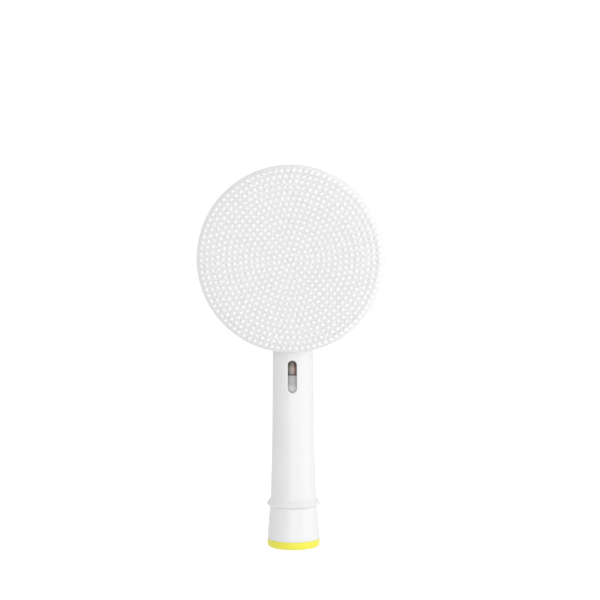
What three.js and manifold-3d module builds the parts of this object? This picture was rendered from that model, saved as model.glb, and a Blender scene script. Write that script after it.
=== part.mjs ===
// Facial cleansing brush head: a round silicone pad on a neck that pushes onto a powered handle.
//
// Frame, in millimetres: +Z runs up the neck, the pad faces -Y, and the origin is the centre of the
// socket's mouth, level with the underside of the colour ring. Pieces of the head are turned about
// an axis that points forward, so their profiles are written as [radius, forward].
//
// The handle turns the drive link to and fro about Z. A ball-ended pin on its crank stands in a
// forked slot of the rotor, and swings the rotor, and the pad with it, to and fro about the axle.

import * as THREE from 'three';
import * as BufferGeometryUtils from 'three/addons/utils/BufferGeometryUtils.js';
import Module from 'manifold-3d';

const wasm = await Module();
wasm.setup();

// ---------------------------------------------------------------- driving sizes: clearances
const fitGap = 0.3; // between parts that slide into each other
const bearingGap = 0.15; // around a shaft that turns, and either side of a washer
const cutOver = 1; // how far a cutting tool runs past the face that it cuts

// ---------------------------------------------------------------- driving sizes: mouth and skirt
const ringHeight = 2.2;
const ringCorner = 0.8;
const ringProud = 0.03;
const mouthRadius = 5.6;
const mouthChamfer = 0.3;
const collarWall = 0.45;
const collarHeight = 2.6;
const skirtWall = 0.92;
const skirtHeight = 9.1; // from the ring up to the pull-off rib
const skirtTopWall = 0.85; // around the insert's flange, just below the rib
const skirtWaistIn = 0.32; // how far the skirt's curve is drawn in at half height

// ---------------------------------------------------------------- driving sizes: neck
const boreRadius = 4.6;
const neckWall = 0.9;
const neckTaperLength = 19;
const insertStep = 0.55; // each step of the bore, from the neck to the insert and its flange
const rootWall = 1.29; // around the insert, above the rib
const ribReach = 0.99;
const ribTip = 0.2; // height of the rib's blunt edge
const ribUnderside = 0.85; // from the skirt up to the middle of that edge
const ribSlope = 1.5; // and from there up to the neck
const windowWidth = 2.45;
const windowBelow = 4.7; // of the window, below the coupling's top
const windowAbove = 4.2; // and above it

// ---------------------------------------------------------------- driving sizes: socket insert
const insertBottom = 8.35;
const insertFlangeHeight = 1.4;
const insertBodyHeight = 14.4;
const insertWall = 1.15;
const keywayWidth = 1.6;
const keywayDepth = 0.6;

// ---------------------------------------------------------------- driving sizes: drive link
const lowerBushLength = 3;
const upperBushLength = 5;
const journalWall = 1.65; // of the coupling, around the drive bore
const journalDrop = 1; // how far the coupling reaches down past the lower bush
const driveBoreRadius = 1.75; // takes the handle's shaft
const driveFlat = 1.15; // from the centre to the flat of the drive bore
const driveBoreDepth = 13;
const driveSlit = 0.7;
const couplingSideGap = 0.4;
const couplingLength = 20.87; // of its full-width body
const couplingChamfer = 0.4;
const clipLength = 4.6;
const clipThickness = 0.45;
const clipHeight = 2; // of the clip's groove, above the coupling's shoulder
const clipOpening = Math.PI / 3;
const rodRadius = 1.9;
const rodSeat = 8.3; // of the rod, inside the coupling
const rodExposed = 13.9; // between the coupling and the upper bush
const crankHubGap = 1.4; // between the upper bush and the crank arm
const crankHubWall = 0.75;
const crankHubHeight = 4.5;
const crankCap = 0.9;
const crankArmThickness = 2.9;
const crankBossRadius = 1.15;
const crankSideGap = 0.25;
const crankHeadroom = 0.8; // between the crank arm and the rotor
const pinRadius = 0.6;
const pinGap = 0.12;
const pinSeat = 2.5;
const ballRadius = 1.1;
const ballSideGap = 0.2;

// ---------------------------------------------------------------- driving sizes: rotor and axle
const headSwing = 22 * (Math.PI / 180); // each way from rest
const rotorRadius = 7.2;
const rotorBackMargin = 0.6;
const slotEndWall = 0.6; // in front of the ball
const slotMouthGrowth = 0.8; // how far each side of the slot opens out at the rim
const axleRadius = 1;
const axleBushWall = 0.75;
const hubWall = 1.25;
const clipGroove = 0.3;
const axleClipThickness = 0.6;
const axleClipRadius = 2.2;
const axleClipOpening = 1.4;
const washerThickness = 0.5;
const washerRadius = 2.6;
const axleBossWall = 1.35;
const axleBossHeight = 2;
const axleSeat = 2.2;
const axleFrontGap = 0.3;

// ---------------------------------------------------------------- driving sizes: gear cup
const cupSideGap = 0.6;
const cupWall = 1.2;
const cupBackWall = 1.1;
const cupBackCorner = 3.5;
const cupLip = 0.3;
const cupChamfer = 2.2;
const shoulderLength = 7; // of the flare below the cup
const shoulderInset = 0.6; // from the flare's top to the cup's side

// ---------------------------------------------------------------- driving sizes: head
const headGap = 1; // between the gear cup and the back shell
const shellWall = 1.6;
const shellFlatRadius = 17;
const shellSideReach = 7.8;
const shellSideDepth = 5.6;
const shellRimWall = 1.4;
const hubFlangeRadius = 9.6;
const hubFlangeThickness = 1.6;
const hubRecessRadius = 3.6;
const hubRecessDepth = 1.7;
const plateThickness = 1.8;
const screwCount = 3;
const screwCircle = 12.5;
const screwRadius = 0.85;
const screwReach = 2.7; // of the thread, past the carrier plate's back
const screwHeadRadius = 1.8;
const screwHeadHeight = 1.1;
const screwRecessFloor = 0.5;
const screwPilotGap = 0.15;
const screwCrossWidth = 0.5;
const screwCrossLength = 2.2;
const screwCrossDepth = 0.6;
const screwBossWall = 1;
const padThickness = 2.9;
const padLipReach = 0.6; // how far the pad's rolled rim stands past the shell
const padRimRoll = 1.05; // how far in from the pad's edge its rim starts to roll back
const nubLength = 1.2; // of the outer nubs
const nubCrown = 0.9; // how much longer the middle nubs are
const nubCrownPower = 6; // by which that falls off towards the outer ones
const nubRadius = 0.62;
const nubTipRadius = 0.45;
const nubRings = 10;
const nubStart = 10.15 * (Math.PI / 180); // the ray on which each ring's first nub stands
const nubMargin = 0.9; // from the outer ring of nubs to where the rim starts to roll
const nubRoot = 0.4; // sunk into the backing

// ---------------------------------------------------------------- driving sizes: facets
const wideSides = 48;
const roundSides = 36;
const smallSides = 20;
const arcSides = 14; // of a drawn outline's arc
const nubSides = 4;
const arcSteps = 4;
const curveSteps = 6;

// ---------------------------------------------------------------- worked out: radii of the neck
const collarRadius = mouthRadius + collarWall;
const skirtBoreRadius = collarRadius + fitGap;
const skirtRadius = skirtBoreRadius + skirtWall;
const ringRadius = skirtRadius + ringProud;
const insertBoreRadius = boreRadius + insertStep;
const ledgeBoreRadius = insertBoreRadius + insertStep;
const skirtTopRadius = ledgeBoreRadius + skirtTopWall;
const neckRootRadius = insertBoreRadius + rootWall;
const neckTopRadius = boreRadius + neckWall;
const ribRadius = neckRootRadius + ribReach;
const insertRadius = insertBoreRadius - fitGap;
const insertInnerRadius = insertRadius - insertWall;
const insertFlangeRadius = ledgeBoreRadius - fitGap;
const bushRadius = boreRadius - bearingGap;

// ---------------------------------------------------------------- worked out: radii of the link
const journalRadius = driveBoreRadius + journalWall;
const couplingRadius = boreRadius - couplingSideGap;
const crankHubRadius = rodRadius + bearingGap + crankHubWall;
const crankReach = boreRadius - crankSideGap - crankBossRadius;

// ---------------------------------------------------------------- worked out: radii of the rotor
const axleBushInner = axleRadius + bearingGap;
const axleBushRadius = axleBushInner + axleBushWall;
const hubBoreRadius = axleBushRadius + bearingGap;
const hubBossRadius = hubBoreRadius + hubWall;
const crankDrop = hubBossRadius + ballSideGap + ballRadius;
const slotHalfWidth = ballRadius + ballSideGap;
const cupInnerRadius = rotorRadius + cupSideGap;
const cupRadius = cupInnerRadius + cupWall;

// ---------------------------------------------------------------- worked out: heights up the neck
const ribHeight = ringHeight + skirtHeight + ribUnderside;
const ledgeHeight = insertBottom + insertFlangeHeight;
const insertTop = ledgeHeight + insertBodyHeight;
const neckStepHeight = insertTop + lowerBushLength;
const couplingShoulder = neckStepHeight + fitGap;
const couplingBottom = insertTop - journalDrop;
const couplingTop = couplingShoulder + couplingLength;
const windowBottom = couplingTop - windowBelow;
const windowTop = couplingTop + windowAbove;
const rodBottom = couplingTop - rodSeat;
const upperBushBottom = couplingTop + rodExposed;
const crankHubBottom = upperBushBottom + upperBushLength + crankHubGap;
const crankTop = crankHubBottom + crankHubHeight;
const rodTop = crankTop - crankCap;
const rotorBottom = crankTop + crankHeadroom;
const axleHeight = rotorBottom + rotorRadius;
const ballHeight = axleHeight - crankDrop;
const pinBottom = crankTop - pinSeat;

// ---------------------------------------------------------------- worked out: distances forward
const crankSwing = Math.asin((crankDrop * Math.tan(headSwing)) / crankReach);
const rotorBack = crankReach * Math.cos(crankSwing) - ballRadius - rotorBackMargin;
const slotFront = crankReach + ballRadius + slotEndWall;
const cupBack = -neckTopRadius;
const cupFloor = cupBack + cupBackWall;
const axleBossFace = cupFloor + axleBossHeight;
const axleBack = axleBossFace - axleSeat;
const washerBack = axleBossFace + bearingGap;
const hubBack = washerBack + washerThickness + bearingGap;
const cupFront = neckTopRadius + cupLip;
const shellBack = cupFront + headGap;
const flangeBack = shellBack + shellWall;
const plateBack = flangeBack + hubFlangeThickness;
const plateFront = plateBack + plateThickness;
const hubRecessFloor = plateBack - hubRecessDepth;
const axleFront = plateBack - axleFrontGap;
const axleClipBack = hubRecessFloor + fitGap;
const shellRim = shellBack + shellSideDepth;
const padBack = Math.max(plateFront, shellRim - shellRimWall / 2) + fitGap;
const padLipBack = shellRim + fitGap;
const padFront = padBack + padThickness;

// ---------------------------------------------------------------- worked out: radii of the head
const shellRadius = shellFlatRadius + shellSideReach;
const shellHoleRadius = rotorRadius + fitGap;
const shellInnerReach = shellSideReach - shellRimWall;
const shellInnerDepth = shellSideDepth - shellWall;
const padRadius = shellRadius + padLipReach;
const padStepRadius = shellFlatRadius + shellInnerReach - fitGap;
const padFaceRadius = padRadius - padRimRoll;
const screwBossRadius = screwRadius + screwPilotGap + screwBossWall;
const nubCircle = padFaceRadius - nubMargin + nubRadius;

// ================================================================ helpers: shapes

// Points of an ellipse's arc, from one angle to another, as [across, along].
function arc(centre, reach, from, to, steps = arcSteps) {
  const points = [];
  for (let i = 0; i <= steps; i += 1) {
    const angle = from + ((to - from) * i) / steps;
    points.push([centre[0] + reach[0] * Math.cos(angle), centre[1] + reach[1] * Math.sin(angle)]);
  }
  return points;
}

// Turns a profile of [radius, height] about Z.
function turned(profile, sides = roundSides) {
  const points = profile.map(([radius, height]) => new THREE.Vector2(radius, height));
  return new THREE.LatheGeometry(points, sides).rotateX(Math.PI / 2);
}

// Turns a profile of [radius, forward] about the axis that points forward, along -Y.
function turnedForward(profile, sides = roundSides) {
  const points = profile.map(([radius, forward]) => new THREE.Vector2(radius, -forward));
  return new THREE.LatheGeometry(points, sides);
}

// A tube or ring about Z, standing on height 0.
function ring(inner, outer, height, sides = roundSides) {
  return turned([[inner, 0], [outer, 0], [outer, height], [inner, height], [inner, 0]], sides);
}

// A rod about Z, from one height to another.
function rod(radius, from, to, sides = roundSides) {
  return turned([[0, from], [radius, from], [radius, to], [0, to]], sides);
}

// A rod along the forward axis, at [x, z], from one distance forward to another.
function rodForward(radius, from, to, sides = smallSides) {
  return turnedForward([[0, from], [radius, from], [radius, to], [0, to]], sides);
}

// An outline of [x, z] pushed along the forward axis: the shape's own y becomes height.
function slabForward(outline, from, to) {
  const shape = outline instanceof THREE.Shape ? outline : new THREE.Shape(outline);
  const options = { depth: to - from, bevelEnabled: false, curveSegments: arcSides };
  return new THREE.ExtrudeGeometry(shape, options).rotateX(Math.PI / 2).translate(0, -from, 0);
}

// An outline of [x, y] pushed up along Z.
function slabUp(shape, from, to) {
  const options = { depth: to - from, bevelEnabled: false, curveSegments: arcSides };
  return new THREE.ExtrudeGeometry(shape, options).translate(0, 0, from);
}

// The outline of a ring that is open over an angle, centred on +X.
function openRing(inner, outer, opening) {
  const shape = new THREE.Shape();
  shape.absarc(0, 0, outer, opening / 2, 2 * Math.PI - opening / 2, false);
  shape.absarc(0, 0, inner, 2 * Math.PI - opening / 2, opening / 2, true);
  shape.closePath();
  return shape;
}

// A box between two corners.
function block(low, high) {
  const size = high.map((value, i) => value - low[i]);
  const middle = high.map((value, i) => (value + low[i]) / 2);
  return new THREE.BoxGeometry(...size).translate(...middle);
}

// ================================================================ helpers: solids

function signedVolume(position, corners) {
  const [a, b, c] = [new THREE.Vector3(), new THREE.Vector3(), new THREE.Vector3()];
  let volume = 0;
  for (let i = 0; i < corners.length; i += 3) {
    a.fromBufferAttribute(position, corners[i]);
    b.fromBufferAttribute(position, corners[i + 1]);
    c.fromBufferAttribute(position, corners[i + 2]);
    volume += a.dot(b.cross(c)) / 6;
  }
  return volume;
}

// A closed geometry as a solid, with shared corners merged and its faces pointing out.
function solid(geometry) {
  const bare = geometry.clone();
  bare.deleteAttribute('normal');
  bare.deleteAttribute('uv');
  const merged = BufferGeometryUtils.mergeVertices(bare, 1e-4);
  const all = merged.index.array;
  const corners = [];
  for (let i = 0; i < all.length; i += 3) {
    const [a, b, c] = [all[i], all[i + 1], all[i + 2]];
    if (a !== b && b !== c && c !== a) corners.push(a, b, c);
  }
  if (signedVolume(merged.attributes.position, corners) < 0) corners.reverse();
  const vertProperties = Float32Array.from(merged.attributes.position.array);
  const triVerts = Uint32Array.from(corners);
  return new wasm.Manifold(new wasm.Mesh({ numProp: 3, vertProperties, triVerts }));
}

// A geometry, less the ones given.
function cut(base, ...tools) {
  return tools.reduce((rest, tool) => rest.subtract(solid(tool)), base);
}

// The geometries given, as one solid.
function joined(...geometries) {
  return geometries.map(solid).reduce((whole, next) => whole.add(next));
}

function geometryOf(body) {
  const mesh = body.getMesh();
  const geometry = new THREE.BufferGeometry();
  geometry.setAttribute('position', new THREE.BufferAttribute(mesh.vertProperties, 3));
  geometry.setIndex(new THREE.BufferAttribute(mesh.triVerts, 1));
  geometry.computeVertexNormals();
  return geometry;
}

function piece(name, body, finish) {
  const mesh = new THREE.Mesh(geometryOf(body), finish);
  mesh.name = name;
  return mesh;
}

// ================================================================ finishes

function finish(color, roughness, metalness = 0) {
  return new THREE.MeshStandardMaterial({ color, roughness, metalness });
}

const whitePlastic = finish(0xf2f3f2, 0.35);
const innerPlastic = finish(0xe4e6e6, 0.5);
const yellowPlastic = finish(0xf2ee4a, 0.3);
const greyPlastic = finish(0xb4b5b6, 0.5);
const bearingPlastic = finish(0xd9d6cc, 0.5);
const whiteSilicone = finish(0xf1f2f3, 0.55);
const steel = finish(0xb3a79c, 0.3, 1);

// ================================================================ the neck and what it holds

function neckRadiusAt(height) {
  const fade = Math.exp(-(height - ribHeight) / neckTaperLength);
  return neckTopRadius + (neckRootRadius - neckTopRadius) * fade;
}

// The outside of the skirt, the pull-off rib and the tapering neck, up to a height.
function neckOutline(top) {
  const ribBottom = ribHeight - ribUnderside;
  const ribTop = ribHeight + ribSlope;
  const skirt = new THREE.QuadraticBezierCurve(
    new THREE.Vector2(skirtRadius, ringHeight),
    new THREE.Vector2(skirtRadius - skirtWaistIn, (ringHeight + ribBottom) / 2),
    new THREE.Vector2(skirtTopRadius, ribBottom),
  );
  const points = [[0, ringHeight]];
  for (const point of skirt.getPoints(arcSteps + 1)) points.push([point.x, point.y]);
  points.push([ribRadius, ribHeight - ribTip / 2]);
  points.push([ribRadius, ribHeight + ribTip / 2]);
  for (let i = 0; i <= curveSteps; i += 1) {
    const share = (i / curveSteps) ** 1.5;
    const height = ribTop + (top - ribTop) * share;
    points.push([neckRadiusAt(height), height]);
  }
  points.push([0, top]);
  return points;
}

// The stepped bore, from below the mouth to where the crank arm swings.
function neckBore() {
  const collarRoom = ringHeight + collarHeight + fitGap;
  const boreTop = rotorBottom + fitGap;
  return turned([
    [0, ringHeight - cutOver],
    [skirtBoreRadius, ringHeight - cutOver],
    [skirtBoreRadius, collarRoom],
    [ledgeBoreRadius, collarRoom],
    [ledgeBoreRadius, ledgeHeight],
    [insertBoreRadius, ledgeHeight],
    [insertBoreRadius, neckStepHeight],
    [boreRadius, neckStepHeight],
    [boreRadius, boreTop],
    [0, boreTop],
  ]);
}

function gearCupOutside() {
  const corner = [cupRadius - cupBackCorner, cupBack + cupBackCorner];
  return turnedForward([
    [0, cupFront],
    [cupRadius, cupFront],
    ...arc(corner, [cupBackCorner, -cupBackCorner], 0, Math.PI / 2),
    [0, cupBack],
  ], wideSides);
}

// The neck flares out sideways to meet the cup, and keeps its own depth from front to back.
function shoulder() {
  const bottom = axleHeight - cupRadius - shoulderLength;
  const spread = cupRadius - shoulderInset - neckTopRadius;
  const profile = [[0, bottom]];
  for (let i = 0; i <= curveSteps; i += 1) {
    const share = i / curveSteps;
    profile.push([neckTopRadius + spread * share * share, bottom + (axleHeight - bottom) * share]);
  }
  profile.push([0, axleHeight]);
  const geometry = turned(profile);
  const place = geometry.attributes.position;
  for (let i = 0; i < place.count; i += 1) {
    const radius = Math.hypot(place.getX(i), place.getY(i));
    if (radius > neckTopRadius) place.setY(i, (place.getY(i) * neckTopRadius) / radius);
  }
  return geometry;
}

// The room for the rotor, round the boss that holds the axle.
function gearCupInside() {
  const bossRadius = axleBushInner + axleBossWall;
  return turnedForward([
    [0, cupFront + cutOver],
    [cupInnerRadius, cupFront + cutOver],
    [cupInnerRadius, cupFloor + cupChamfer],
    [cupInnerRadius - cupChamfer, cupFloor],
    [bossRadius, cupFloor],
    [bossRadius, axleBossFace],
    [axleBushInner, axleBossFace],
    [axleBushInner, axleBack],
    [0, axleBack],
  ], wideSides);
}

// The slot with round ends in the front of the neck, through which the drive shows.
function windowTool() {
  const half = windowWidth / 2;
  const shape = new THREE.Shape();
  shape.absarc(0, windowTop - half, half, 0, Math.PI, false);
  shape.absarc(0, windowBottom + half, half, Math.PI, 2 * Math.PI, false);
  shape.closePath();
  return slabForward(shape, couplingRadius / 2, neckRootRadius + cutOver);
}

function neckShell() {
  const cup = gearCupOutside().translate(0, 0, axleHeight);
  const room = gearCupInside().translate(0, 0, axleHeight);
  const outside = joined(turned(neckOutline(ballHeight)), shoulder(), cup);
  return piece('neck_shell', cut(outside, neckBore(), room, windowTool()), whitePlastic);
}

function colorRing() {
  const corner = [ringRadius - ringCorner, ringCorner];
  const profile = [
    [mouthRadius + mouthChamfer, 0],
    ...arc(corner, [ringCorner, ringCorner], -Math.PI / 2, 0),
    [ringRadius, ringHeight],
    [collarRadius, ringHeight],
    [collarRadius, ringHeight + collarHeight],
    [mouthRadius, ringHeight + collarHeight],
    [mouthRadius, mouthChamfer],
    [mouthRadius + mouthChamfer, 0],
  ];
  return piece('color_ring', solid(turned(profile)), yellowPlastic);
}

function socketInsert() {
  const height = insertFlangeHeight + insertBodyHeight;
  const sleeve = turned([
    [insertInnerRadius, 0],
    [insertFlangeRadius, 0],
    [insertFlangeRadius, insertFlangeHeight],
    [insertRadius, insertFlangeHeight],
    [insertRadius, height],
    [insertInnerRadius, height],
    [insertInnerRadius, 0],
  ]);
  const keyway = block(
    [-keywayWidth / 2, -insertInnerRadius - keywayDepth, -cutOver],
    [keywayWidth / 2, 0, height + cutOver],
  );
  const mesh = piece('socket_insert', cut(solid(sleeve), keyway), innerPlastic);
  mesh.position.z = insertBottom;
  return mesh;
}

function guideBush(name, inner, outer, length, height) {
  const mesh = piece(name, solid(ring(inner, outer, length)), bearingPlastic);
  mesh.position.z = height;
  return mesh;
}

function axlePin() {
  const grooveRadius = axleRadius - clipGroove;
  const grooveBack = axleClipBack - bearingGap / 2;
  const grooveFront = axleClipBack + axleClipThickness + bearingGap / 2;
  const profile = [
    [0, axleBack],
    [axleRadius, axleBack],
    [axleRadius, grooveBack],
    [grooveRadius, grooveBack],
    [grooveRadius, grooveFront],
    [axleRadius, grooveFront],
    [axleRadius, axleFront],
    [0, axleFront],
  ];
  return piece('axle_pin', solid(turnedForward(profile, smallSides)), steel);
}

function axleClip() {
  const inner = axleRadius - clipGroove + bearingGap / 2;
  const shape = openRing(inner, axleClipRadius, axleClipOpening);
  const plate = slabForward(shape, 0, axleClipThickness);
  const mesh = piece('axle_clip', solid(plate), steel);
  mesh.position.y = -axleClipBack;
  return mesh;
}

function thrustWasher() {
  const profile = [
    [axleBushInner, 0],
    [washerRadius, 0],
    [washerRadius, washerThickness],
    [axleBushInner, washerThickness],
    [axleBushInner, 0],
  ];
  const mesh = piece('thrust_washer', solid(turnedForward(profile, smallSides)), steel);
  mesh.position.y = -washerBack;
  return mesh;
}

// ================================================================ the drive link

// The handle's shaft is round with one flat; so is the bore that takes it.
function driveBore() {
  const edge = Math.acos(driveFlat / driveBoreRadius);
  const shape = new THREE.Shape();
  shape.absarc(0, 0, driveBoreRadius, Math.PI / 2 + edge, Math.PI / 2 - edge + 2 * Math.PI, false);
  shape.closePath();
  return slabUp(shape, -cutOver, driveBoreDepth);
}

function driveCoupling() {
  const shoulder = couplingShoulder - couplingBottom;
  const top = couplingTop - couplingBottom;
  const grooveRadius = couplingRadius - clipThickness - 2 * bearingGap;
  const grooveFloor = shoulder + clipHeight;
  const grooveRoof = grooveFloor + clipLength + 2 * bearingGap;
  const body = turned([
    [0, 0],
    [journalRadius, 0],
    [journalRadius, shoulder],
    [couplingRadius, shoulder],
    [couplingRadius, grooveFloor],
    [grooveRadius, grooveFloor],
    [grooveRadius, grooveRoof],
    [couplingRadius, grooveRoof],
    [couplingRadius, top - couplingChamfer],
    [couplingRadius - couplingChamfer, top],
    [0, top],
  ]);
  const rodBore = rod(rodRadius + bearingGap, top - rodSeat, top + cutOver, smallSides);
  const slit = block([-driveSlit / 2, 0, -cutOver], [driveSlit / 2, neckRootRadius, driveBoreDepth]);
  const mesh = piece('drive_coupling', cut(solid(body), driveBore(), rodBore, slit), greyPlastic);
  mesh.position.z = couplingBottom;
  return mesh;
}

function shaftClip() {
  const outer = couplingRadius - bearingGap;
  const shape = openRing(outer - clipThickness, outer, clipOpening);
  const mesh = piece('shaft_clip', solid(slabUp(shape, 0, clipLength)), steel);
  mesh.position.z = couplingShoulder + clipHeight + bearingGap;
  return mesh;
}

function driveRod() {
  const mesh = piece('drive_rod', solid(rod(rodRadius, 0, rodTop - rodBottom, smallSides)), steel);
  mesh.position.z = rodBottom;
  return mesh;
}

// The arm's outline: the hub and the pin's boss, with straight sides that touch both.
function crankArmShape() {
  const tilt = Math.acos((crankHubRadius - crankBossRadius) / crankReach);
  const shape = new THREE.Shape();
  shape.absarc(0, 0, crankHubRadius, -Math.PI / 2 + tilt, 1.5 * Math.PI - tilt, false);
  shape.absarc(0, -crankReach, crankBossRadius, -Math.PI / 2 - tilt, -Math.PI / 2 + tilt, false);
  shape.closePath();
  return shape;
}

function crankArm() {
  const armBottom = crankHubHeight - crankArmThickness;
  const pinBore = rod(pinRadius + pinGap, crankHubHeight - pinSeat, crankHubHeight + cutOver, smallSides);
  const body = joined(
    rod(crankHubRadius, 0, crankHubHeight, smallSides),
    slabUp(crankArmShape(), armBottom, crankHubHeight),
  );
  const rodBore = rod(rodRadius + bearingGap, -cutOver, crankHubHeight - crankCap, smallSides);
  const arm = cut(body, rodBore, pinBore.translate(0, -crankReach, 0));
  const mesh = piece('crank_arm', arm, greyPlastic);
  mesh.position.z = crankHubBottom;
  return mesh;
}

function crankPin() {
  const height = ballHeight - pinBottom;
  const neckAngle = Math.acos(pinRadius / ballRadius);
  const profile = [
    [0, 0],
    [pinRadius, 0],
    ...arc([0, height], [ballRadius, ballRadius], -neckAngle, Math.PI / 2, 2 * arcSteps),
  ];
  const mesh = piece('crank_pin', solid(turned(profile, smallSides)), steel);
  mesh.position.set(0, -crankReach, pinBottom);
  return mesh;
}

// ================================================================ the head

// The slot of the fork, as an outline of [x, z] below the axle, which opens out at the rim.
function forkSlot() {
  const half = slotHalfWidth;
  const bend = crankDrop + ballRadius / 2;
  const rim = rotorRadius + fitGap;
  return [
    new THREE.Vector2(half, -hubBossRadius),
    new THREE.Vector2(-half, -hubBossRadius),
    new THREE.Vector2(-half, -bend),
    new THREE.Vector2(-half - slotMouthGrowth, -rim),
    new THREE.Vector2(half + slotMouthGrowth, -rim),
    new THREE.Vector2(half, -bend),
  ];
}

function rotorHub() {
  const body = turnedForward([
    [hubBoreRadius, hubBack],
    [hubBossRadius, hubBack],
    [hubBossRadius, rotorBack],
    [rotorRadius, rotorBack],
    [rotorRadius, flangeBack],
    [hubFlangeRadius, flangeBack],
    [hubFlangeRadius, plateBack],
    [hubRecessRadius, plateBack],
    [hubRecessRadius, hubRecessFloor],
    [hubBoreRadius, hubRecessFloor],
    [hubBoreRadius, hubBack],
  ]);
  const slot = slabForward(forkSlot(), rotorBack - cutOver, slotFront);
  return piece('rotor_hub', cut(solid(body), slot), innerPlastic);
}

function hubBush() {
  const profile = [
    [axleBushInner, hubBack],
    [axleBushRadius, hubBack],
    [axleBushRadius, hubRecessFloor],
    [axleBushInner, hubRecessFloor],
    [axleBushInner, hubBack],
  ];
  return piece('hub_bush', solid(turnedForward(profile, smallSides)), bearingPlastic);
}

// Where screw number i stands, as [x, z] from the axle. The first one is at the top.
function screwPlace(i) {
  const angle = Math.PI / 2 + (2 * Math.PI * i) / screwCount;
  return [screwCircle * Math.cos(angle), screwCircle * Math.sin(angle)];
}

// A rod along the forward axis at each screw's place.
function atScrews(radius, from, to) {
  const rods = [];
  for (let i = 0; i < screwCount; i += 1) {
    const [x, z] = screwPlace(i);
    rods.push(rodForward(radius, from, to).translate(x, 0, z));
  }
  return rods;
}

function backShell() {
  const centre = [shellFlatRadius, shellRim];
  const wall = turnedForward([
    [shellHoleRadius, shellBack],
    ...arc(centre, [shellSideReach, -shellSideDepth], Math.PI / 2, 0, curveSteps),
    ...arc(centre, [shellInnerReach, -shellInnerDepth], 0, Math.PI / 2, curveSteps),
    [shellHoleRadius, flangeBack],
    [shellHoleRadius, shellBack],
  ], wideSides);
  const bosses = atScrews(screwBossRadius, flangeBack - shellWall / 2, plateBack);
  const pilots = atScrews(screwRadius + screwPilotGap, plateBack - screwReach - fitGap, plateBack + cutOver);
  return piece('back_shell', cut(joined(wall, ...bosses), ...pilots), whitePlastic);
}

// The plate fits inside the shell's curved side, at the plate's back face.
function carrierPlate() {
  const drop = (shellRim - plateBack) / shellInnerDepth;
  const shellInside = shellFlatRadius + shellInnerReach * Math.sqrt(1 - drop * drop);
  const plate = rodForward(shellInside - fitGap, plateBack, plateFront, wideSides);
  const recessFloor = plateBack + screwRecessFloor;
  const holes = atScrews(screwRadius + screwPilotGap, plateBack - cutOver, plateFront);
  const recesses = atScrews(screwHeadRadius + fitGap, recessFloor, plateFront + cutOver);
  return piece('carrier_plate', cut(solid(plate), ...holes, ...recesses), innerPlastic);
}

// A pan-head screw, with its head's underside at forward 0.
function carrierScrew(i) {
  const rounding = screwHeadHeight / 3;
  const shank = screwReach + screwRecessFloor;
  const body = turnedForward([
    [0, -shank],
    [screwRadius / 2, -shank],
    [screwRadius, -shank + screwRadius],
    [screwRadius, 0],
    [screwHeadRadius, 0],
    [screwHeadRadius, screwHeadHeight - rounding],
    [screwHeadRadius - rounding, screwHeadHeight],
    [0, screwHeadHeight],
  ], smallSides);
  const reach = screwCrossLength / 2;
  const half = screwCrossWidth / 2;
  const crossBack = -(screwHeadHeight - screwCrossDepth);
  const crossFront = -(screwHeadHeight + cutOver);
  const across = block([-reach, crossFront, -half], [reach, crossBack, half]);
  const down = block([-half, crossFront, -reach], [half, crossBack, reach]);
  const [x, z] = screwPlace(i);
  const mesh = piece(`carrier_screw_${i + 1}`, cut(solid(body), across, down), steel);
  mesh.position.set(x, -(plateBack + screwRecessFloor), z);
  return mesh;
}

// One tapered nub with flat ends, standing forward from the pad's face at [x, z].
function nub(x, z) {
  const places = [];
  const faces = [];
  const crown = nubCrown * (1 - (Math.hypot(x, z) / padFaceRadius) ** nubCrownPower);
  const tip = padFront + nubLength + crown;
  for (const [radius, forward] of [[nubRadius, padFront - nubRoot], [nubTipRadius, tip]]) {
    for (let side = 0; side < nubSides; side += 1) {
      const angle = (2 * Math.PI * side) / nubSides;
      places.push(x + radius * Math.cos(angle), -forward, z + radius * Math.sin(angle));
    }
  }
  for (let side = 0; side < nubSides; side += 1) {
    const next = (side + 1) % nubSides;
    faces.push(side, next, next + nubSides, side, next + nubSides, side + nubSides);
  }
  for (let side = 1; side < nubSides - 1; side += 1) {
    faces.push(0, side + 1, side, nubSides, nubSides + side, nubSides + side + 1);
  }
  const geometry = new THREE.BufferGeometry();
  geometry.setAttribute('position', new THREE.Float32BufferAttribute(places, 3));
  geometry.setIndex(faces);
  return geometry;
}

// A nub in the middle and rings of six, twelve, eighteen and so on around it.
function nubField() {
  const nubs = [nub(0, 0)];
  for (let row = 1; row <= nubRings; row += 1) {
    const radius = ((nubCircle - nubRadius) * row) / nubRings;
    const count = 6 * row;
    for (let i = 0; i < count; i += 1) {
      const angle = nubStart + (2 * Math.PI * i) / count;
      nubs.push(nub(radius * Math.cos(angle), radius * Math.sin(angle)));
    }
  }
  return BufferGeometryUtils.mergeGeometries(nubs);
}

// The pad: a backing with a rolled rim that laps the shell's edge, and the nubs on its face.
function siliconePad() {
  const rimMiddle = (padLipBack + padFront) / 2;
  const rimHalf = (padFront - padLipBack) / 2;
  const backing = turnedForward([
    [0, padBack],
    [padStepRadius, padBack],
    [padStepRadius, padLipBack],
    ...arc([padFaceRadius, rimMiddle], [padRimRoll, rimHalf], -Math.PI / 2, Math.PI / 2, curveSteps),
    [0, padFront],
  ], wideSides);
  return piece('silicone_pad', joined(backing, nubField()), whiteSilicone);
}

// ================================================================ the assembly

const neck = new THREE.Group();
neck.add(neckShell());
neck.add(colorRing());
neck.add(socketInsert());
neck.add(guideBush('lower_guide_bush', journalRadius + bearingGap, insertRadius, lowerBushLength, insertTop));
neck.add(guideBush('upper_guide_bush', rodRadius + bearingGap, bushRadius, upperBushLength, upperBushBottom));

const axle = new THREE.Group();
axle.position.z = axleHeight;
axle.add(axlePin());
axle.add(axleClip());
axle.add(thrustWasher());

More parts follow.
